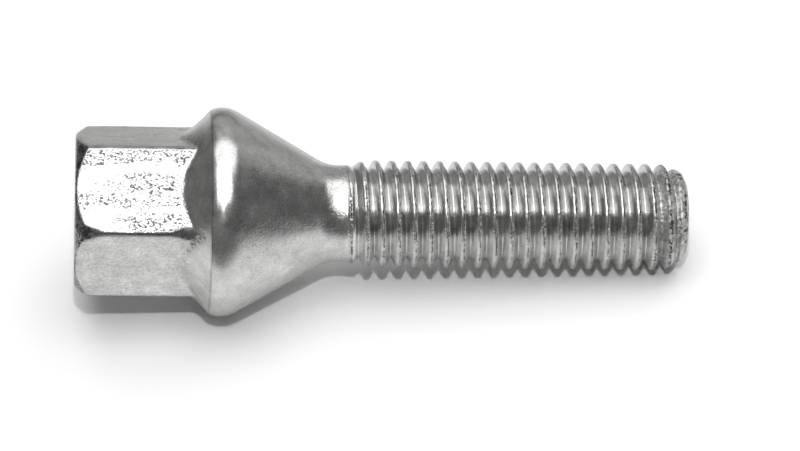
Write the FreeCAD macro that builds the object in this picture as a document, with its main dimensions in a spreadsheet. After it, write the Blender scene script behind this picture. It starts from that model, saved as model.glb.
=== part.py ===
"""Wheel bolt: a hexagon head on a flanged collar, a conical seat, a plain neck and a screw shank.

The bolt is forged and rolled from one blank, so it is one body. It stands on its head: the origin
is the centre of the head's end face, and +Z runs along the axis to the tip. Lengths are in
millimetres and angles in degrees.
"""

import FreeCAD, Part
import math
import os

import Sketcher

# Driving dimensions, each with what it measures
SIZES = [
    ("across_flats", 16.8, "hexagon over two opposite flats, the 17 mm size as forged"),
    ("hex_edge_radius", 1.0, "rounding of the six long edges of the hexagon"),
    ("hex_height", 12.35, "end face to where the flange's back leaves the flats"),
    ("end_face_diameter", 16.1, "end face out to its chamfer, before the rounding"),
    ("end_chamfer_angle", 45.0, "chamfer against the end face"),
    ("end_edge_radius", 0.8, "rounding between end face and chamfer"),
    ("flange_back_angle", 50.0, "back of the flange against the axis"),
    ("flange_root_radius", 1.6, "hollow between hexagon and flange"),
    ("rim_diameter", 22.85, "collar over its rim"),
    ("rim_width", 1.94, "rim along the axis, between its two corners"),
    ("rim_back_radius", 1.0, "rounding of the rim towards the head"),
    ("rim_seat_radius", 2.5, "rounding of the rim towards the seat"),
    ("seat_angle", 60.0, "full angle of the conical seat"),
    ("seat_root_radius", 4.3, "hollow between seat and neck"),
    ("neck_diameter", 10.55, "plain neck, as thick as the blank before rolling"),
    ("neck_length", 1.95, "end of the seat to the start of the thread"),
    ("thread_diameter", 11.7, "shank over the thread's crests"),
    ("thread_start_angle", 45.0, "step from neck to thread, against the axis"),
    ("shank_length", 39.4, "end of the seat to the tip"),
    ("tip_diameter", 9.6, "flat end of the tip"),
    ("tip_length", 2.0, "lead-in taper at the tip"),
]

# Distances from the axis that follow from the driving dimensions, as expressions on the sheet
AXIS = "0"
FLAT = "sizes.across_flats / 2"
CORNER = f"{FLAT} / cos(30)"
CORE = f"{FLAT} / 2"
END_FACE = "sizes.end_face_diameter / 2"
RIM = "sizes.rim_diameter / 2"
NECK = "sizes.neck_diameter / 2"
THREAD = "sizes.thread_diameter / 2"
TIP = "sizes.tip_diameter / 2"

# Distances from the end face, likewise
END = "0"
CHAMFER_END = f"({CORNER} - {END_FACE}) * tan(sizes.end_chamfer_angle)"
CORE_START = f"sizes.hex_height - ({FLAT} - {CORE}) / tan(sizes.flange_back_angle)"
RIM_BACK = f"sizes.hex_height + ({RIM} - {FLAT}) / tan(sizes.flange_back_angle)"
RIM_FRONT = f"{RIM_BACK} + sizes.rim_width"
SEAT_END = f"{RIM_FRONT} + ({RIM} - {NECK}) / tan(sizes.seat_angle / 2)"
THREAD_START = f"{SEAT_END} + sizes.neck_length"
THREAD_FULL = f"{THREAD_START} + ({THREAD} - {NECK}) / tan(sizes.thread_start_angle)"
TIP_END = f"{SEAT_END} + sizes.shank_length"
TAPER_START = f"{TIP_END} - sizes.tip_length"

# The hollow's rounding, kept within the back of the flange between hexagon corner and rim rounding
BACK_WIDTH = f"({RIM} - {CORNER}) / sin(sizes.flange_back_angle)"
HOLLOW_ROOM = f"{BACK_WIDTH} / tan(sizes.flange_back_angle / 2) - sizes.rim_back_radius"
HOLLOW = f"min(sizes.flange_root_radius; {HOLLOW_ROOM})"

FACETS = 6
NEAR = 0.001

doc = FreeCAD.newDocument("wheel_bolt")
sheet = doc.addObject("Spreadsheet::Sheet", "sizes")
for row, (alias, number, meaning) in enumerate(SIZES, start=1):
    sheet.set(f"A{row}", alias)
    sheet.set(f"B{row}", str(number))
    sheet.setAlias(f"B{row}", alias)
    sheet.set(f"C{row}", meaning)
doc.recompute()

body = doc.addObject("PartDesign::Body", "wheel_bolt")
body.Label = "wheel_bolt"


def value(expression):
    """The number that an expression on the sheet comes to."""
    return float(sheet.evalExpression(expression))


def new_sketch(name, role):
    """A sketch on one of the body's own origin planes."""
    sketch = body.newObject("Sketcher::SketchObject", name)
    plane = next(f for f in body.Origin.OriginFeatures if f.Role == role)
    sketch.AttachmentSupport = (plane, [""])
    sketch.MapMode = "FlatFace"
    return sketch


def tie(sketch, name, constraint, expression):
    """Add a dimension to a sketch under a name, driven by the sheet."""
    sketch.renameConstraint(sketch.addConstraint(constraint), name)
    sketch.setExpression(f"Constraints.{name}", expression)


def new_section(name, corners):
    """A closed half section beside the axis.

    Each corner has a name, its distance from the axis, its distance from the end face and the
    size that rounds it, or None for a sharp corner.
    """
    sketch = new_sketch(name, "XZ_Plane")
    points = [FreeCAD.Vector(value(across), value(along), 0) for _, across, along, _ in corners]
    for start, end in zip(points, points[1:] + points[:1]):
        sketch.addGeometry(Part.LineSegment(start, end))
    for line in range(len(corners)):
        last = (line - 1) % len(corners)
        sketch.addConstraint(Sketcher.Constraint("Coincident", last, 2, line, 1))

    places = {line: line for line in range(len(corners))}
    for line, (label, _, _, rounding) in enumerate(corners):
        if rounding:
            sketch.fillet(line, 1, value(rounding), True, True)
            arc, places[line] = sketch.GeometryCount - 2, sketch.GeometryCount - 1
            tie(sketch, f"{label}_round", Sketcher.Constraint("Radius", arc, value(rounding)), rounding)

    for line, (label, across, along, _) in enumerate(corners):
        place = places[line]
        if across == AXIS:
            sketch.addConstraint(Sketcher.Constraint("PointOnObject", place, 1, -2))
        else:
            gauge = Sketcher.Constraint("DistanceX", -1, 1, place, 1, value(across))
            tie(sketch, f"{label}_across", gauge, across)
        if along == END:
            sketch.addConstraint(Sketcher.Constraint("PointOnObject", place, 1, -1))
        else:
            gauge = Sketcher.Constraint("DistanceY", -1, 1, place, 1, value(along))
            tie(sketch, f"{label}_along", gauge, along)
    return sketch


def turn(kind, name, sketch):
    """A full turn of a half section about the bolt's axis, added or cut away."""
    feature = body.newObject(f"PartDesign::{kind}", name)
    feature.Profile = sketch
    feature.ReferenceAxis = (sketch, ["V_Axis"])
    feature.Angle = 360
    doc.recompute()
    return feature


def round_edges(name, radius, wanted):
    """Round the edges whose middle, as (distance from the axis, distance along it), is wanted."""
    base = body.Tip
    names = []
    for number, edge in enumerate(base.Shape.Edges, start=1):
        middle = edge.valueAt((edge.FirstParameter + edge.LastParameter) / 2)
        if wanted(math.hypot(middle.x, middle.y), middle.z):
            names.append(f"Edge{number}")
    if not names:
        raise RuntimeError(f"{name}: no edge found")
    fillet = body.newObject("PartDesign::Fillet", name)
    fillet.Base = (base, names)
    fillet.setExpression("Radius", radius)
    doc.recompute()
    return fillet


def make_head():
    """The hexagon, with two flats facing +Y and -Y, carried on into the flange."""
    corner = value(CORNER)
    sketch = new_sketch("hexagon", "XY_Plane")
    turns = [2 * math.pi * k / FACETS for k in range(FACETS)]
    points = [FreeCAD.Vector(corner * math.cos(a), corner * math.sin(a), 0) for a in turns]
    for start, end in zip(points, points[1:] + points[:1]):
        sketch.addGeometry(Part.LineSegment(start, end))
    round_corners = Part.Circle(FreeCAD.Vector(0, 0, 0), FreeCAD.Vector(0, 0, 1), corner)
    circle = sketch.addGeometry(round_corners, True)
    sketch.addConstraint(Sketcher.Constraint("Coincident", circle, 3, -1, 1))
    for side in range(FACETS):
        sketch.addConstraint(Sketcher.Constraint("Coincident", side, 2, (side + 1) % FACETS, 1))
        sketch.addConstraint(Sketcher.Constraint("PointOnObject", side, 1, circle))
        if side:
            sketch.addConstraint(Sketcher.Constraint("Equal", 0, side))
    sketch.addConstraint(Sketcher.Constraint("PointOnObject", 0, 1, -1))
    tie(sketch, "half_across_flats", Sketcher.Constraint("DistanceY", -1, 1, 1, 1, value(FLAT)), FLAT)

    head = body.newObject("PartDesign::Pad", "head")
    head.Profile = sketch
    head.setExpression("Length", RIM_BACK)
    doc.recompute()

    top = value(RIM_BACK)
    round_edges("hex_edges", "sizes.hex_edge_radius",
                lambda across, along: across > corner - NEAR and NEAR < along < top - NEAR)


def make_end_chamfer():
    """The chamfer that takes the hexagon's corners off at the end face."""
    before = body.Tip.Shape.Volume
    turn("Groove", "end_chamfer", new_section("chamfer_section", [
        ("inner", END_FACE, END, None),
        ("outer", CORNER, END, None),
        ("deep", CORNER, CHAMFER_END, None),
    ]))
    if body.Tip.Shape.Volume >= before:
        raise RuntimeError("the end chamfer cut nothing")
    radius = value(END_FACE)
    round_edges("end_edge", "sizes.end_edge_radius",
                lambda across, along: abs(across - radius) < NEAR and abs(along) < NEAR)


def make_collar_and_shank():
    """Flange, collar rim, conical seat, neck, screw shank and tip, in one turned section."""
    turn("Revolution", "collar_and_shank", new_section("shank_section", [
        ("core", AXIS, CORE_START, None),
        ("flange", CORE, CORE_START, None),
        ("rim_back", RIM, RIM_BACK, "sizes.rim_back_radius"),
        ("rim_front", RIM, RIM_FRONT, "sizes.rim_seat_radius"),
        ("seat_end", NECK, SEAT_END, "sizes.seat_root_radius"),
        ("thread_start", NECK, THREAD_START, None),
        ("thread_full", THREAD, THREAD_FULL, None),
        ("taper_start", THREAD, TAPER_START, None),
        ("tip", TIP, TIP_END, None),
        ("tip_centre", AXIS, TIP_END, None),
    ]))


def make_flange_root():
    """The hollow where the hexagon's flats run out into the back of the flange."""
    corner, flat, foot = value(CORNER), value(FLAT), value("sizes.hex_height")
    slope = math.tan(math.radians(value("sizes.flange_back_angle")))
    round_edges("flange_root", HOLLOW,
                lambda across, along: across < corner and abs(along - foot - (across - flat) / slope) < NEAR)


make_head()
make_end_chamfer()
make_collar_and_shank()
make_flange_root()

for item in doc.Objects:
    if "Invalid" in item.State or "Error" in item.State:
        raise RuntimeError(f"{item.Name} failed: {item.State}")
shape = body.Shape
if shape.isNull() or not shape.isValid() or len(shape.Solids) != 1:
    raise RuntimeError("the wheel bolt is not one sound solid")

os.makedirs("parts", exist_ok=True)
shape.exportStep(f"parts/{body.Label}.step")
print(f"{body.Label}: {value(TIP_END):.2f} mm long, {shape.Volume:.1f} mm3")
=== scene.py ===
"""Looks for the wheel bolt: bright zinc plate on forged and rolled steel, standing on its head.

Lengths are in millimetres, as in the CAD, and become metres where they are given to Blender. The
bolt's axis is Z, its end face is at zero and its tip points up. The camera looks across the axis and
is turned so that the bolt lies along the picture, with its head on the left.
"""

import math
from types import SimpleNamespace

import bpy
import numpy as np
from mathutils import Matrix, Vector, noise


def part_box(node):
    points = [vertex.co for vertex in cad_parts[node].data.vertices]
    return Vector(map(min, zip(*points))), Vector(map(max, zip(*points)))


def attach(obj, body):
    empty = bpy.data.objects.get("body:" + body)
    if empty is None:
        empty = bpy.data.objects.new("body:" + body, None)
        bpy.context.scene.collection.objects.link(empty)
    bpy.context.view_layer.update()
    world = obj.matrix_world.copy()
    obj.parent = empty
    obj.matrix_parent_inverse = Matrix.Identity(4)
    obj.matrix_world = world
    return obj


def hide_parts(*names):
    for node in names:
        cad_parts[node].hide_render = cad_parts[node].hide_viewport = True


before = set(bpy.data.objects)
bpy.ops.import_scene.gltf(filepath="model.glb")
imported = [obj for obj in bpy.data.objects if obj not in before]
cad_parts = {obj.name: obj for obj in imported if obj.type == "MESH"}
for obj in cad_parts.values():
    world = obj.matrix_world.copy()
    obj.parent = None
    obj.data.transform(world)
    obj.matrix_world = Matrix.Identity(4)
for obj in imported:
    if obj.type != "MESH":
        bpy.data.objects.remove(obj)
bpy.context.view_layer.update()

MM = 0.001
NODE = "wheel_bolt"
_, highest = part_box(NODE)

# Head, with the sizes of the CAD but for an end face that is 0.4 mm wider before its chamfer
SIDES = 6
SIDE_ANGLE = 2 * math.pi / SIDES
HALF_SIDE = SIDE_ANGLE / 2
FLAT = 16.8 / 2
CORNER = FLAT / math.cos(HALF_SIDE)
HEX_HEIGHT = 12.35
EDGE_ROUND = 1.0
END_FACE = 16.5 / 2
END_EDGE_ROUND = 0.8
CHAMFER_ANGLE = math.radians(45)
CHAMFER_HEIGHT = (CORNER - END_FACE) * math.tan(CHAMFER_ANGLE)
FLANGE_ANGLE = math.radians(50)
# How far two surfaces of the head run into each other where a forging die rounds the edge
CHAMFER_SOFTNESS = 0.35
HOLLOW_SOFTNESS = 0.25
# An edge is worn rounder towards both of its ends, as in the photo. The power that narrows the wear
# to this edge is even, so the opposite edge is worn too
WORN_EDGE = math.radians(300)
WEAR_POWER = 8
END_WEAR = 2.0
END_WEAR_REACH = (1.2, 3.4)
FOOT_WEAR = 1.7
FOOT_WEAR_REACH = (9.9, 12.1)

# Collar and seat, with the sizes of the CAD but for a larger rounding of the rim towards the seat
RIM = highest.x / MM
RIM_WIDTH = 1.94
RIM_SEAT_ROUND = 3.5
RIM_BACK = HEX_HEIGHT + (RIM - FLAT) / math.tan(FLANGE_ANGLE)
RIM_FRONT = RIM_BACK + RIM_WIDTH
SEAT_HALF_ANGLE = math.radians(30)
SEAT_ROOT_ROUND = 4.3
NECK = 10.55 / 2
NECK_LENGTH = 1.95
SEAT_END = RIM_FRONT + (RIM - NECK) / math.tan(SEAT_HALF_ANGLE)
# The rim is a shallow bead, with a crease where it meets the back of the flange
CREASE = RIM - 0.33
CREASE_HEIGHT = HEX_HEIGHT + (CREASE - FLAT) / math.tan(FLANGE_ANGLE)
CREASE_ROUND = 0.2
BEAD_ANGLE = math.radians(25)
BEAD_ROUND = 2.5
BEAD_BACK = CREASE_HEIGHT + (RIM - CREASE) / math.tan(BEAD_ANGLE)
# The back of the flange is a hollow curve, from the flats at this height and slope to the crease
HOLLOW_FOOT = 11.3
HOLLOW_SLOPE = 0.473
HOLLOW_RUN = CREASE_HEIGHT - HOLLOW_FOOT
HOLLOW_BEND = ((CREASE - FLAT) / HOLLOW_RUN - HOLLOW_SLOPE) / HOLLOW_RUN
# How much higher the flats end for each millimetre that they are further from the axis
HOLLOW_RISE = 1.55

# Thread, cut into the plain cylinder that stands for it in the CAD
PITCH = 1.75
CREST = 11.7 / 2
ROOT = 4.72
FLANK_HALF_ANGLE = math.radians(30)
CREST_SOFTNESS = 0.25
ROOT_SOFTNESS = 0.06
THREAD_START = SEAT_END + NECK_LENGTH
THREAD_ANGLE = math.radians(232)
# The thread begins with a low lip at the neck and reaches its full depth over some turns
LIP_SHARE = 0.15
LIP_LENGTH = 0.3
RUN_OUT_LENGTH = 1.6 * PITCH

# Tip, whose very end is rounded off and whose last turns are torn
TIP_END = highest.z / MM
TIP = 9.6 / 2
TIP_LENGTH = 2.0
TIP_SOFTNESS = 0.25
TIP_END_FACE = 4.2
TIP_END_SLOPE = 2.2
TORN_START = TIP_END - 2.2 * PITCH
TORN_DEPTH = 0.1
TORN_GRAIN = 2.3
# Unevenness of the forged head and seat
FORGED_DEPTH = 0.012
FORGED_GRAIN = 0.7

# Columns of the mesh over one edge and one flat of the hexagon, and how even those of a flat are
EDGE_COLUMNS = 8
FLAT_COLUMNS = 24
FLAT_EVENNESS = 0.6
# Rows of the mesh: steps along the outline, closer in a strip at the end face's edge
ARC_STEP = math.radians(6)
LEAST_ARC_STEPS = 3
FACE_STEP = 1.0
EDGE_STRIP = 0.5
EDGE_STEP = 0.16
COLLAR_STEP = 0.4
# Rows up the hexagon, and closer ones where the flats run out, a little way past both ends
HEX_ROWS = 18
HOLLOW_ROWS = 30
HOLLOW_MARGIN = 0.6
# Rows of one turn of the thread, from crest to crest, then of the tip and of its end face
HALF_TURN_ROWS = [0, 0.06, 0.1, 0.14, 0.18, 0.3, 0.45, 0.48, 0.5]
TURN_ROWS = HALF_TURN_ROWS + [1 - share for share in HALF_TURN_ROWS[-2::-1]]
TIP_ROWS = 8
TIP_FACE_RINGS = [1, 0.97, 0.9, 0.7, 0.45, 0.2, 0]
# Points closer than this are one
WELD = 0.0005
# The end faces stay flat within this height
FACE_MARGIN = 0.001
# Limits for rows that have no end chamfer and rows that have no flange
NO_CAP = 2 * RIM
NO_FLOOR = -1.0


def soft_max(first, second, reach):
    """The larger of two values, blended where they are within reach of each other."""
    overlap = np.clip(reach - np.abs(first - second), 0, None)
    return np.maximum(first, second) + overlap * overlap / (4 * reach)


def soft_min(first, second, reach):
    """The smaller of two values, blended where they are within reach of each other."""
    return -soft_max(-first, -second, reach)


def smooth_rise(value, low, high):
    """A smooth rise from 0 to 1 while a value goes from low to high."""
    share = np.clip((value - low) / (high - low), 0, 1)
    return share * share * (3 - 2 * share)


def rounding_centre(rounding):
    """Distance from the axis to the centre of the arc that rounds an edge of the hexagon."""
    return (FLAT - rounding) / math.cos(HALF_SIDE)


def rounding_reach(rounding):
    """Angle at the axis from an edge of the hexagon to the end of the arc that rounds it."""
    beyond = rounding_centre(rounding) + rounding * math.cos(HALF_SIDE)
    return np.arctan2(rounding * math.sin(HALF_SIDE), beyond)


def column_angles():
    """Angles round the axis, closest together at the six edges of the hexagon."""
    half_edge = rounding_reach(EDGE_ROUND)
    edge = np.linspace(-half_edge, half_edge, EDGE_COLUMNS, endpoint=False)
    steps = np.linspace(0, 1, FLAT_COLUMNS, endpoint=False)
    spread = FLAT_EVENNESS * steps + (1 - FLAT_EVENNESS) * smooth_rise(steps, 0, 1)
    flat = half_edge + spread * (SIDE_ANGLE - 2 * half_edge)
    side = np.concatenate([edge, flat])
    return np.concatenate([side + k * SIDE_ANGLE for k in range(SIDES)])


def hexagon(angle, rounding):
    """Distance from the axis to a hexagon with rounded edges, one of them on +X."""
    from_edge = np.abs((angle + HALF_SIDE) % SIDE_ANGLE - HALF_SIDE)
    straight = FLAT / np.cos(HALF_SIDE - from_edge)
    centre = rounding_centre(rounding)
    inside = np.clip(rounding ** 2 - (centre * np.sin(from_edge)) ** 2, 0, None)
    arc = centre * np.cos(from_edge) + np.sqrt(inside)
    return np.where(from_edge < rounding_reach(rounding), arc, straight)


def rounded_line(corners):
    """Points of a line through corners given as (across, along, rounding)."""
    points = [np.array(corners[0][:2])]
    for before, corner, after in zip(corners, corners[1:], corners[2:]):
        here = np.array(corner[:2])
        back = np.array(before[:2]) - here
        ahead = np.array(after[:2]) - here
        back /= np.linalg.norm(back)
        ahead /= np.linalg.norm(ahead)
        half = math.acos(float(np.clip(back @ ahead, -1, 1))) / 2
        reach = corner[2] / math.tan(half)
        inward = (back + ahead) / np.linalg.norm(back + ahead)
        centre = here + inward * corner[2] / math.sin(half)
        start = here + back * reach - centre
        end = here + ahead * reach - centre
        sweep = math.pi - 2 * half
        steps = max(LEAST_ARC_STEPS, math.ceil(sweep / ARC_STEP))
        for share in np.linspace(0, 1, steps + 1):
            spoke = math.sin((1 - share) * sweep) * start + math.sin(share * sweep) * end
            points.append(centre + spoke / math.sin(sweep))
    points.append(np.array(corners[-1][:2]))
    return np.array(points)


def divide(points, longest):
    """The same line with points added, so that no step is longer than asked."""
    line = [points[0]]
    for start, end in zip(points, points[1:]):
        steps = max(1, math.ceil(np.linalg.norm(end - start) / longest))
        line += [start + (end - start) * k / steps for k in range(1, steps + 1)]
    return np.array(line)


def flange_radius(height):
    """Distance from the axis to the back of the flange at a height, carried on inside the hexagon."""
    run = height - HOLLOW_FOOT
    return FLAT + HOLLOW_SLOPE * run + HOLLOW_BEND * max(0.0, run) ** 2


def flange_height(radius):
    """Height of the back of the flange at a distance from the axis."""
    slope = math.sqrt(HOLLOW_SLOPE ** 2 + 4 * HOLLOW_BEND * (radius - FLAT))
    return HOLLOW_FOOT + (slope - HOLLOW_SLOPE) / (2 * HOLLOW_BEND)


def head_outline():
    """Rows from the middle of the end face to the start of the thread, as (cap, height, floor).

    The cap is how far from the axis the hexagon is let out, and the floor is the distance from the
    axis to the flange or the neck, which shows where the hexagon lies deeper.
    """
    end = divide(rounded_line([
        (0, 0, 0),
        (END_FACE, 0, END_EDGE_ROUND),
        (CORNER, CHAMFER_HEIGHT, 0),
    ]), FACE_STEP)
    at_edge = end[:, 0] >= END_FACE - EDGE_STRIP
    end = np.concatenate([end[~at_edge], divide(end[at_edge], EDGE_STEP)])
    rows = [(across, along, NO_FLOOR) for across, along in end]

    hollow_start = HOLLOW_FOOT - HOLLOW_MARGIN
    hollow_end = flange_height(CORNER + HOLLOW_MARGIN)
    up_the_flats = np.linspace(CHAMFER_HEIGHT, hollow_start, HEX_ROWS)[1:]
    up_the_hollow = np.linspace(hollow_start, hollow_end, HOLLOW_ROWS)[1:-1]
    for along in np.concatenate([up_the_flats, up_the_hollow]):
        rows.append((NO_CAP, along, flange_radius(along)))

    collar = divide(rounded_line([
        (CORNER + HOLLOW_MARGIN, hollow_end, 0),
        (CREASE, CREASE_HEIGHT, CREASE_ROUND),
        (RIM, BEAD_BACK, BEAD_ROUND),
        (RIM, RIM_FRONT, RIM_SEAT_ROUND),
        (NECK, SEAT_END, SEAT_ROOT_ROUND),
        (NECK, THREAD_START, 0),
    ]), COLLAR_STEP)
    rows += [(0, along, across) for across, along in collar]
    return rows


def head_panel(angle):
    """Distances from the axis and heights of the head, collar and neck, in rows round the axis."""
    cap, height, floor = (np.array(column)[:, None] for column in zip(*head_outline()))
    near_end = 1 - smooth_rise(height, *END_WEAR_REACH)
    near_foot = smooth_rise(height, *FOOT_WEAR_REACH)
    at_worn_edge = np.cos(angle[None, :] - WORN_EDGE) ** WEAR_POWER
    wear = at_worn_edge * (END_WEAR * near_end + FOOT_WEAR * near_foot)
    radius = hexagon(angle[None, :], EDGE_ROUND + wear)
    radius = soft_min(radius, cap, CHAMFER_SOFTNESS)
    radius = soft_max(radius, floor, HOLLOW_SOFTNESS)
    return radius, np.broadcast_to(height, radius.shape)


def shank_radius(turned, height):
    """Distance from the axis to the thread, with its run-out at the neck and its taper at the tip."""
    past_neck = height - THREAD_START
    phase = past_neck / PITCH - turned / (2 * math.pi)
    off_crest = np.abs(phase - np.round(phase)) * PITCH
    rise = (PITCH / 2 - off_crest) / math.tan(FLANK_HALF_ANGLE)
    tooth = soft_min(rise, CREST - ROOT, CREST_SOFTNESS)
    radius = ROOT + soft_max(tooth, 0, ROOT_SOFTNESS)

    lip = smooth_rise(past_neck, 0, LIP_LENGTH)
    run_out = smooth_rise(past_neck, 0, RUN_OUT_LENGTH)
    radius = NECK + (radius - NECK) * (LIP_SHARE * lip + (1 - LIP_SHARE) * run_out)

    from_tip = TIP_END - height
    taper = TIP + from_tip * (CREST - TIP) / TIP_LENGTH
    rounded = TIP_END_FACE + from_tip * TIP_END_SLOPE
    return soft_min(radius, soft_min(taper, rounded, TIP_SOFTNESS), TIP_SOFTNESS)


def shank_panels(angle):
    """Panels of (angle, height) that follow the thread, from the neck to the edge of the tip's end."""
    turns = int((TIP_END - THREAD_START) / PITCH) - 1
    turned = np.append(angle - angle[0], 2 * math.pi)[None, :]
    share = turned / (2 * math.pi)
    steps = np.array(TURN_ROWS)[:, None]

    start = THREAD_START + PITCH * share * steps
    phases = np.concatenate([np.array(TURN_ROWS)[:-1] + k for k in range(turns)] + [[turns]])
    middle = THREAD_START + PITCH * (phases[:, None] + share)
    end = THREAD_START + PITCH * (turns + share + (1 - share) * steps)
    last = THREAD_START + PITCH * (turns + 1)
    tip = np.linspace(last, TIP_END, TIP_ROWS)[:, None] + 0 * share
    return [(turned + 0 * panel, panel) for panel in (start, middle, end, tip)]


def to_points(angle, radius, height):
    """Points in space, as a grid of rows and columns."""
    return np.stack([radius * np.cos(angle), radius * np.sin(angle), height], axis=-1)


def bolt_panels():
    """Every panel of the bolt's skin, as grids of points whose shared edges meet."""
    angle = column_angles()
    closed = np.append(angle, angle[0] + 2 * math.pi)
    radius, height = head_panel(closed)
    panels = [to_points(closed[None, :], radius, height)]
    first = int(np.argmin(np.abs(angle - THREAD_ANGLE)))
    wound = np.concatenate([angle[first:], angle[:first] + 2 * math.pi])
    for turned, height in shank_panels(wound):
        radius = shank_radius(turned, height)
        panels.append(to_points(turned + wound[0], radius, height))
    edge = panels[-1][-1]
    centre = np.array([0, 0, TIP_END])
    panels.append(centre + (edge - centre) * np.array(TIP_FACE_RINGS)[:, None, None])
    return panels


def weld(panels):
    """One list of points and faces from panels whose edges meet."""
    points = np.concatenate([panel.reshape(-1, 3) for panel in panels])
    keys = np.round(points / WELD).astype(np.int64)
    _, first, place = np.unique(keys, axis=0, return_index=True, return_inverse=True)
    place = place.reshape(-1)
    faces = []
    offset = 0
    for panel in panels:
        rows, columns = panel.shape[:2]
        index = place[offset:offset + rows * columns].reshape(rows, columns)
        offset += rows * columns
        quads = np.stack([index[:-1, :-1], index[:-1, 1:], index[1:, 1:], index[1:, :-1]], axis=-1)
        for quad in quads.reshape(-1, 4).tolist():
            face = [v for k, v in enumerate(quad) if v != quad[k - 1]]
            if len(set(face)) > 2:
                faces.append(face)
    return points[first], faces


def roughen(points):
    """Small unevenness of a forging on the head, and the torn last turns of the thread."""
    moved = points.copy()
    for k, (x, y, z) in enumerate(points):
        if z < FACE_MARGIN or z > TIP_END - FACE_MARGIN:
            continue
        if z < SEAT_END:
            depth = FORGED_DEPTH * (1 + noise.noise(Vector((x, y, z)) * FORGED_GRAIN))
        elif z > TORN_START:
            share = min(1, (z - TORN_START) / PITCH)
            depth = TORN_DEPTH * share * (1 + noise.noise(Vector((x, y, z)) * TORN_GRAIN))
        else:
            continue
        moved[k, :2] *= 1 - depth / math.hypot(x, y)
    return moved


def make_bolt():
    """The bolt's visual mesh, in the frame of the CAD."""
    points, faces = weld(bolt_panels())
    points = roughen(points) * MM
    mesh = bpy.data.meshes.new("wheel_bolt_zinc")
    mesh.from_pydata(points.tolist(), [], faces)
    mesh.validate()
    mesh.shade_smooth()
    bolt = bpy.data.objects.new("wheel_bolt_zinc", mesh)
    bpy.context.scene.collection.objects.link(bolt)
    return bolt


def give(tree, socket, given):
    """Link a socket to another one, or set it to a value."""
    if isinstance(given, bpy.types.NodeSocket):
        tree.links.new(given, socket)
    else:
        socket.default_value = given


def add_node(tree, kind, **inputs):
    """A shader node with some of its inputs set or linked."""
    node = tree.nodes.new(kind)
    for name, given in inputs.items():
        give(tree, node.inputs[name.replace("_", " ")], given)
    return node


def combined(tree, operation, *given):
    """The result of a math node on sockets or numbers."""
    node = tree.nodes.new("ShaderNodeMath")
    node.operation = operation
    for socket, item in zip(node.inputs, given):
        give(tree, socket, item)
    return node.outputs[0]


def product(tree, first, *others):
    """The product of sockets or numbers."""
    for other in others:
        first = combined(tree, "MULTIPLY", first, other)
    return first


def weighted(tree, *parts):
    """The sum of sockets, each given with its weight."""
    total = 0.0
    for part, weight in parts:
        total = combined(tree, "MULTIPLY_ADD", part, weight, total)
    return total


def ranged(tree, given, low, high, first, last):
    """A value that goes from first to last while the given one goes from low to high."""
    inputs = {"Value": given, "From_Min": low, "From_Max": high, "To_Min": first, "To_Max": last}
    return add_node(tree, "ShaderNodeMapRange", **inputs).outputs["Result"]


def stretched(tree, place, across, along):
    """Coordinates scaled across the axis and along it."""
    scale = (across, across, along)
    return add_node(tree, "ShaderNodeMapping", Vector=place, Scale=scale).outputs[0]


def place_on_object(tree):
    """Coordinates in the object's own frame, in millimetres."""
    place = tree.nodes.new("ShaderNodeTexCoord").outputs["Object"]
    return stretched(tree, place, 1 / MM, 1 / MM)


def noise_of(tree, place, across, along, detail):
    """Noise from 0 to 1, with so many features to a millimetre across the axis and along it."""
    vector = stretched(tree, place, across, along)
    texture = add_node(tree, "ShaderNodeTexNoise", Vector=vector, Scale=1.0, Detail=detail)
    return texture.outputs["Fac"]


def from_flat(tree, split):
    """Distance from the axis along the normal of the hexagon's flat that a point is nearest to."""
    furthest = 0.0
    for pair in range(SIDES // 2):
        normal = HALF_SIDE + pair * SIDE_ANGLE
        reach = weighted(tree, (split["X"], math.cos(normal)), (split["Y"], math.sin(normal)))
        furthest = combined(tree, "MAXIMUM", combined(tree, "ABSOLUTE", reach), furthest)
    return furthest


def past_crest(tree, split):
    """Distance along the axis past the nearest crest of the thread towards the tip."""
    angle = combined(tree, "ARCTAN2", split["Y"], split["X"])
    turns = combined(tree, "MULTIPLY_ADD", angle, -1 / (2 * math.pi), THREAD_ANGLE / (2 * math.pi))
    phase = combined(tree, "MULTIPLY_ADD", split["Z"], 1 / PITCH, 0.5 - THREAD_START / PITCH)
    part = combined(tree, "FRACT", combined(tree, "ADD", phase, turns))
    return combined(tree, "MULTIPLY", combined(tree, "SUBTRACT", part, 0.5), PITCH)


def above_hollow(tree, split, reach):
    """Height above the line where the hexagon's flats run out into the flange."""
    across = product(tree, split["X"], split["X"])
    across = combined(tree, "MULTIPLY_ADD", split["Y"], split["Y"], across)
    widening = combined(tree, "DIVIDE", combined(tree, "SQRT", across), reach)
    rise = HOLLOW_RISE * FLAT
    line = combined(tree, "MULTIPLY_ADD", widening, rise, HOLLOW_FOOT - rise)
    return combined(tree, "SUBTRACT", split["Z"], line)


def zinc_noises(tree, place):
    """The noises of the zinc plate, named by what they look like."""
    def of(across, along, detail):
        return noise_of(tree, place, across, along, detail)

    return SimpleNamespace(
        cloud=of(0.6, 0.6, 2.0),
        grain=of(5.0, 5.0, 3.0),
        streak=of(5.0, 0.3, 3.0),
        rings=of(0.3, 7.0, 2.0),
        lumps=of(2.2, 2.2, 4.0),
        rows=of(0.9, 0.12, 1.0),
        specks=of(5.4, 3.4, 4.0),
        breaks=of(1.7, 1.7, 2.0),
        tears=of(3.5, 3.5, 3.0),
    )


# Where the finish changes and where shade is painted, in millimetres: about the start of the thread,
# past the rim, before the tip's end, above the line where the flats run out, in a band about that line
# where patchy shade is painted, and about the crease, where a dark line is painted
NECK_BLEND = 0.3
SEAT_BLEND = 1.0
TORN_FINISH = (4.6, 2.2)
DRAWN_FADE = (-0.4, 0.1)
FOOT_RISE = (-0.35, 0.0)
FOOT_FALL = (0.4, 1.1)
CREASE_HALF_WIDTH = 0.1
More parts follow.
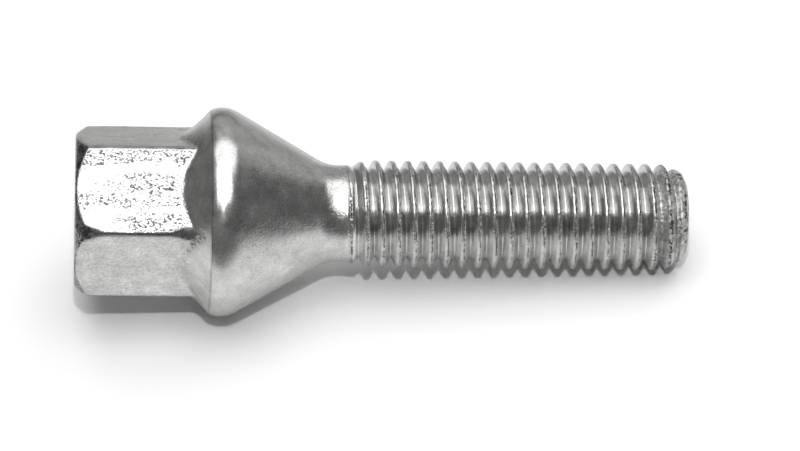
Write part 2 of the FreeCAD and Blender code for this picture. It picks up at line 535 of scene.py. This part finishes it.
# How far inside the planes of the flats the mask of the flats rises, and that of the edges falls; the
# edges' mask darkens the rounded edges as painted shade
FLAT_INSET = (0.09, 0.04)
EDGE_SHADE_INSET = (0.14, 0.08)


def zinc_zones(tree, split):
    """Masks from 0 to 1 for the zones of the bolt that have a finish of their own, and for the rounded
    edges, the hollow where the flats run out and the crease, where shade is painted.
    """
    height = split["Z"]
    reach = from_flat(tree, split)
    over_hollow = above_hollow(tree, split, reach)
    forged = ranged(tree, height, THREAD_START - NECK_BLEND, THREAD_START + NECK_BLEND, 1, 0)
    drawn = ranged(tree, over_hollow, *DRAWN_FADE, 1, 0)
    past_rim = ranged(tree, height, RIM_FRONT, RIM_FRONT + SEAT_BLEND, 0, 1)
    face = ranged(tree, reach, FLAT - FLAT_INSET[0], FLAT - FLAT_INSET[1], 0, 1)
    photo_face = ranged(tree, split["Y"], FLAT_INSET[0] - FLAT, FLAT_INSET[1] - FLAT, 0, 1)
    rounding = ranged(tree, reach, FLAT - EDGE_SHADE_INSET[0], FLAT - EDGE_SHADE_INSET[1], 1, 0)
    foot_rise = ranged(tree, over_hollow, *FOOT_RISE, 0, 1)
    foot_fall = ranged(tree, over_hollow, *FOOT_FALL, 1, 0)
    return SimpleNamespace(
        forged=forged,
        rolled=combined(tree, "SUBTRACT", 1.0, forged),
        drawn=drawn,
        seat=product(tree, forged, past_rim),
        flat=product(tree, drawn, face),
        worn_flat=product(tree, drawn, photo_face),
        # The rounded edges of the hexagon, which carry painted shade
        edge=product(tree, drawn, rounding),
        # Band about the line where the flats run into the flange, which carries painted shade
        shaded_foot=product(tree, foot_rise, foot_fall),
        # The crease, where a dark line is painted as shade
        crease=combined(tree, "COMPARE", height, CREASE_HEIGHT, CREASE_HALF_WIDTH),
        torn=ranged(tree, height, TIP_END - TORN_FINISH[0], TIP_END - TORN_FINISH[1], 0, 1),
    )


# Marks of rolling, in millimetres from the crest: how far they waver, a fine seam just past the
# crest, the crest itself, and the root. The seam and the crest are painted darker as shade, and the
# root lighter as a painted highlight
CREST_WAVER = 0.08
CREST_SEAM = 0.13
CREST_SEAM_WIDTH = 0.13
CREST_BAND = (0.1, 0.32)
ROOT_BAND = (PITCH / 2 - 0.16, PITCH / 2 - 0.06)


def zinc_marks(tree, split, noises, zones):
    """Masks for pits, patches of painted shade in the hollow where the flats run out, and the crest, seam
    and root of the rolled thread.
    """
    pitted = weighted(tree, (zones.seat, 0.18), (zones.flat, 0.25), (zones.worn_flat, 0.75))
    rows = ranged(tree, noises.rows, 0.36, 0.5, 0.45, 1)
    specks = ranged(tree, noises.specks, 0.5, 0.62, 0, 1)
    hollow_shade_patches = ranged(tree, noises.lumps, 0.35, 0.6, 0, 1)

    waver = ranged(tree, noises.grain, 0.3, 0.7, -CREST_WAVER, CREST_WAVER)
    past = combined(tree, "ADD", past_crest(tree, split), waver)
    off_crest = combined(tree, "ABSOLUTE", past)
    off_seam = combined(tree, "ABSOLUTE", combined(tree, "SUBTRACT", past, CREST_SEAM))
    broken = ranged(tree, noises.breaks, 0.42, 0.56, 0.3, 1)
    seam = ranged(tree, off_seam, 0, CREST_SEAM_WIDTH, 1, 0)
    return SimpleNamespace(
        pits=product(tree, specks, rows, pitted),
        # Patches of painted shade in the hollow where the flats run out
        scale=product(tree, zones.shaded_foot, hollow_shade_patches),
        seam=product(tree, seam, broken, zones.rolled),
        crest=product(tree, ranged(tree, off_crest, *CREST_BAND, 1, 0), zones.rolled),
        root=product(tree, ranged(tree, off_crest, *ROOT_BAND, 0, 1), zones.rolled),
    )


# Colours of the plate and the tones at which they are reached, from the darkest pit at zero
DARK_PIT = (0.05, 0.05, 0.055, 1)
DULL_ZINC = (0.315, 0.318, 0.31, 1)
DULL_TONE = 0.12
BRIGHT_ZINC = (0.69, 0.695, 0.678, 1)
BRIGHT_TONE = 0.65
EDGE_TINT = (0.8, 0.8, 0.8, 1)


def zinc_colour(tree, noises, zones, marks):
    """Colour of the plate, from the weights of its noises, zones and marks in one tone, with shade painted
    on the rounded edges, the crease, the hollow, the seam and the crests, and a painted highlight along
    the root.
    """
    # Crests darkened in patches: painted shade
    painted_crest_shade = product(tree, marks.crest, ranged(tree, noises.lumps, 0.38, 0.62, 1.5, 0.3))
    torn_patch = product(tree, zones.torn, ranged(tree, noises.lumps, 0.4, 0.55, 1, 0))
    drawn_streak = product(tree, zones.drawn, ranged(tree, noises.streak, 0.35, 0.65, -1, 1))
    drawn_patch = product(tree, zones.drawn, ranged(tree, noises.lumps, 0.35, 0.65, -1, 1))
    tone = weighted(
        tree,
        (noises.grain, 0.5),
        (noises.cloud, 0.5),
        # Painted shade: the rounded edges of the hexagon darkened
        (zones.edge, -0.34),
        (zones.rolled, 0.03),
        # Painted shade: a dark line along the crease
        (zones.crease, -0.2),
        (zones.forged, -0.06),
        (marks.pits, -0.47),
        # Painted shade: dark patches in the hollow where the flats run out
        (marks.scale, -0.15),
        # Painted shade: the crest's seam darkened
        (marks.seam, -0.45),
        # Painted highlight: the root lightened
        (marks.root, 0.1),
        # Painted shade: the crests darkened in patches
        (painted_crest_shade, -0.2),
        (torn_patch, -0.35),
        (drawn_streak, 0.03),
        (drawn_patch, 0.05),
    )
    ramp = add_node(tree, "ShaderNodeValToRGB", Fac=tone)
    stops = ramp.color_ramp.elements
    stops[0].color = DARK_PIT
    stops[1].color = BRIGHT_ZINC
    stops[1].position = BRIGHT_TONE
    stops.new(DULL_TONE).color = DULL_ZINC
    return ramp.outputs["Color"]


def zinc_relief(tree, noises, zones, marks):
    """Relief of the plate, in millimetres, as a normal for the shader."""
    height = weighted(
        tree,
        (noises.grain, 0.008),
        (zones.crease, -0.02),
        (marks.pits, -0.03),
        # The patches of painted shade in the hollow are also set a little lower
        (marks.scale, -0.02),
        (marks.seam, -0.08),
        (product(tree, noises.streak, zones.drawn), 0.018),
        (product(tree, noises.rings, zones.rolled), 0.004),
        (product(tree, noises.lumps, marks.crest), 0.05),
        (product(tree, noises.tears, zones.torn), 0.26),
    )
    bump = add_node(tree, "ShaderNodeBump", Height=height, Strength=1.0, Distance=MM)
    return bump.outputs["Normal"]


def zinc_material():
    """Bright zinc plate, pitted on the forged flats, smoother on the collar, and rolled on the thread."""
    material = bpy.data.materials.new("zinc_steel")
    material.use_nodes = True
    tree = material.node_tree
    place = place_on_object(tree)
    split = add_node(tree, "ShaderNodeSeparateXYZ", Vector=place).outputs
    noises = zinc_noises(tree, place)
    zones = zinc_zones(tree, split)
    marks = zinc_marks(tree, split, noises, zones)

    satin = ranged(tree, noises.cloud, 0.3, 0.7, 0.18, 0.24)
    roughness = weighted(tree, (satin, 1.0), (zones.forged, 0.04), (zones.torn, 0.08))
    sockets = tree.nodes["Principled BSDF"].inputs
    give(tree, sockets["Metallic"], 1.0)
    give(tree, sockets["Specular Tint"], EDGE_TINT)
    give(tree, sockets["Base Color"], zinc_colour(tree, noises, zones, marks))
    give(tree, sockets["Roughness"], roughness)
    give(tree, sockets["Normal"], zinc_relief(tree, noises, zones, marks))
    return material


# Camera: across the axis, just under the floor's level, where the one-sided floor doesn't show
VIEW_AZIMUTH = math.radians(15)
CAMERA_DISTANCE = 426.0
CAMERA_HEIGHT = -0.3
AIM_HEIGHT = 35.56
AIM_BELOW_AXIS = 1.265
PICTURE_ROLL = math.radians(-0.676)
LENS = 175.5
SENSOR_WIDTH = 36.0
CLIP_NEAR = 10.0
CLIP_FAR = 20000.0
TO_VIEWER = Vector((math.sin(VIEW_AZIMUTH), -math.cos(VIEW_AZIMUTH), 0))
PICTURE_UP = Vector((-math.cos(VIEW_AZIMUTH), -math.sin(VIEW_AZIMUTH), 0))
ALONG = Vector((0, 0, 1))


def facing(location, toward, right):
    """A placement at a location whose -Z points along a direction, with +X near another."""
    back = -toward.normalized()
    across = (right - right.project(back)).normalized()
    up = back.cross(across)
    turn = Matrix((across, up, back)).transposed().to_4x4()
    return Matrix.Translation(location) @ turn


def add_camera():
    """The camera, with the bolt's axis along the picture and its head on the left."""
    camera = bpy.data.objects.new("camera", bpy.data.cameras.new("camera"))
    location = (TO_VIEWER * CAMERA_DISTANCE + ALONG * CAMERA_HEIGHT) * MM
    aim = (ALONG * AIM_HEIGHT - PICTURE_UP * AIM_BELOW_AXIS) * MM
    roll = Matrix.Rotation(-PICTURE_ROLL, 4, "Z")
    camera.matrix_world = facing(location, aim - location, ALONG) @ roll
    camera.data.lens = LENS
    camera.data.sensor_width = SENSOR_WIDTH
    camera.data.clip_start = CLIP_NEAR * MM
    camera.data.clip_end = CLIP_FAR * MM
    bpy.context.scene.collection.objects.link(camera)
    bpy.context.scene.camera = camera


def studio_direction(turn, along=0.0):
    """Direction at an angle from the picture's top round towards the viewer, then along the bolt.

    Both angles are in degrees.
    """
    turn = math.radians(turn)
    along = math.radians(along)
    across = PICTURE_UP * math.cos(turn) + TO_VIEWER * math.sin(turn)
    return across * math.cos(along) + ALONG * math.sin(along)


# Stage: a level floor, and a sheet of paper behind the bolt, turned this far from the picture's top
# towards the viewer
SHEET_TURN = 48.0
FLOOR_SIZE = 3000.0
BACKDROP_SIZE = 400.0
FLOOR_WHITE = 0.8
BACKDROP_WHITE = 0.95
PAPER_IN_VIEW = 1.08
FIBRE_SHADE = 0.98
# The paper's painted pool of light: its colour is painted dimmer past these distances, away from the
# viewer and towards the viewer, and fades to a dimmer paper further out by a share
POOL_FAR = 46.0
POOL_NEAR = 40.0
POOL_FADE = 1.7
FAR_PAINTED_DIMNESS = 0.55
NEAR_PAINTED_DIMNESS = 0.35
# Height that the sheet is centred on and the lamps face
MIDDLE = 30.0


def paper_material(name, white, far, near):
    """White paper seen from its front, clear from its back, and painted dimmer past a painted pool of
    light.

    The painted pool reaches this far from the middle, away from the viewer and towards the viewer. The
    camera and the metal see the paper a little paler than its colour.
    """
    material = bpy.data.materials.new(name)
    material.use_nodes = True
    tree = material.node_tree
    tree.nodes.clear()
    place = place_on_object(tree)
    up = add_node(tree, "ShaderNodeSeparateXYZ", Vector=place).outputs["Y"]
    # Painted pool of light: the paper's colour is darkened past the pool's far and near ends
    far_side = ranged(tree, up, far, POOL_FADE * far, 1, FAR_PAINTED_DIMNESS)
    near_side = ranged(tree, up, -POOL_FADE * near, -near, NEAR_PAINTED_DIMNESS, 1)
    painted_pool = combined(tree, "MINIMUM", far_side, near_side)
    fibre = ranged(tree, noise_of(tree, place, 1.0, 1.0, 3.0), 0, 1, FIBRE_SHADE * white, white)
    path = tree.nodes.new("ShaderNodeLightPath").outputs
    seen = combined(tree, "MAXIMUM", path["Is Camera Ray"], path["Is Glossy Ray"])
    level = product(tree, fibre, painted_pool, ranged(tree, seen, 0, 1, 1, PAPER_IN_VIEW))
    shade = add_node(tree, "ShaderNodeCombineColor", Red=level, Green=level, Blue=level)
    diffuse = add_node(tree, "ShaderNodeBsdfDiffuse", Color=shade.outputs["Color"])
    clear = tree.nodes.new("ShaderNodeBsdfTransparent")
    back = tree.nodes.new("ShaderNodeNewGeometry").outputs["Backfacing"]
    one_sided = add_node(tree, "ShaderNodeMixShader", Fac=back)
    give(tree, one_sided.inputs[1], diffuse.outputs[0])
    give(tree, one_sided.inputs[2], clear.outputs[0])
    add_node(tree, "ShaderNodeOutputMaterial", Surface=one_sided.outputs[0])
    return material


def add_sheet(name, placement, size, material):
    """A square sheet that is part of the stage."""
    half = size / 2 * MM
    corners = [(-half, -half, 0), (half, -half, 0), (half, half, 0), (-half, half, 0)]
    mesh = bpy.data.meshes.new(name)
    mesh.from_pydata(corners, [], [(0, 1, 2, 3)])
    mesh.materials.append(material)
    plane = bpy.data.objects.new(name, mesh)
    plane.matrix_world = placement
    bpy.context.scene.collection.objects.link(plane)
    return plane


def add_floor():
    """A pale floor under the head, with no painted pool of light.

    The lamps reach below it. So it casts no shadow, and the metal and bounced light leave it out,
    because its edge would cut across the picture in which the bolt lies.
    """
    paper = paper_material("floor_paper", FLOOR_WHITE, FLOOR_SIZE, FLOOR_SIZE)
    floor = add_sheet("floor", Matrix.Identity(4), FLOOR_SIZE, paper)
    floor.visible_shadow = False
    floor.visible_glossy = False
    floor.visible_diffuse = False


def add_backdrop():
    """A sheet of paper behind the bolt that the collar and the start of the tip's taper touch.

    It casts no shadow and bounces no light, because they would show as strips on the floor.
    """
    normal = studio_direction(SHEET_TURN)
    rim_height = (RIM_BACK + RIM_FRONT) / 2
    slope = (RIM - CREST) / (TIP_END - TIP_LENGTH - rim_height)
    upright = (normal - ALONG * slope).normalized()
    middle = ALONG * MIDDLE - normal * (RIM - slope * (MIDDLE - rim_height))
    placement = facing(middle * MM, -upright, ALONG)
    paper = paper_material("backdrop_paper", BACKDROP_WHITE, POOL_FAR, POOL_NEAR)
    backdrop = add_sheet("backdrop", placement, BACKDROP_SIZE, paper)
    backdrop.visible_shadow = False
    backdrop.visible_diffuse = False


def add_lamp(name, direction, distance, width, height, brightness, right=ALONG):
    """A rectangular lamp, hidden from the camera, that faces the bolt. Its face has this brightness."""
    lamp = bpy.data.lights.new(name, "AREA")
    lamp.shape = "RECTANGLE"
    lamp.size = width * MM
    lamp.size_y = height * MM
    lamp.energy = brightness * math.pi * lamp.size * lamp.size_y
    holder = bpy.data.objects.new(name, lamp)
    location = (ALONG * MIDDLE + direction * distance) * MM
    holder.matrix_world = facing(location, -direction, right)
    holder.visible_camera = False
    bpy.context.scene.collection.objects.link(holder)


def add_lamps():
    """Two large softboxes, a small lamp for the hard shadow, and weak panels behind and overhead."""
    add_lamp("key_softbox", studio_direction(60, -6), distance=300, width=340, height=195, brightness=2.75)
    add_lamp("top_softbox", studio_direction(24, 0), distance=300, width=420, height=190, brightness=1.85)
    add_lamp("hard_key", studio_direction(78, -4), distance=420, width=12, height=12, brightness=1100)
    add_lamp("far_panel", studio_direction(-18, 16), distance=320, width=540, height=280, brightness=0.36)
    overhead = studio_direction(-90, 53)
    add_lamp("overhead_softbox", overhead, distance=300, width=250, height=250, brightness=0.8,
             right=TO_VIEWER)


# Brightness of the room, as it lights the paper and as the metal shows it and the floor
ROOM_LEVEL = 0.03
ROOM_IN_METAL = 0.15
FLOOR_IN_METAL = 0.2
HORIZON_BLEND = 0.1


def add_world():
    """A dim room, with a pale floor below for the metal to show."""
    world = bpy.data.worlds.new("room")
    world.use_nodes = True
    bpy.context.scene.world = world
    tree = world.node_tree
    toward = tree.nodes.new("ShaderNodeTexCoord").outputs["Generated"]
    up = add_node(tree, "ShaderNodeSeparateXYZ", Vector=toward).outputs["Z"]
    extra_above = ROOM_IN_METAL - ROOM_LEVEL
    extra_below = FLOOR_IN_METAL - ROOM_LEVEL
    extra = ranged(tree, up, -HORIZON_BLEND, 0, extra_below, extra_above)
    in_metal = tree.nodes.new("ShaderNodeLightPath").outputs["Is Glossy Ray"]
    background = tree.nodes["Background"].inputs
    give(tree, background["Color"], (1, 1, 1, 1))
    give(tree, background["Strength"], combined(tree, "MULTIPLY_ADD", extra, in_metal, ROOM_LEVEL))


bpy.context.scene.view_settings.view_transform = "Standard"
bolt = make_bolt()
bolt.data.materials.append(zinc_material())
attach(bolt, "root")
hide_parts(NODE)
add_camera()
add_floor()
add_backdrop()
add_lamps()
add_world()
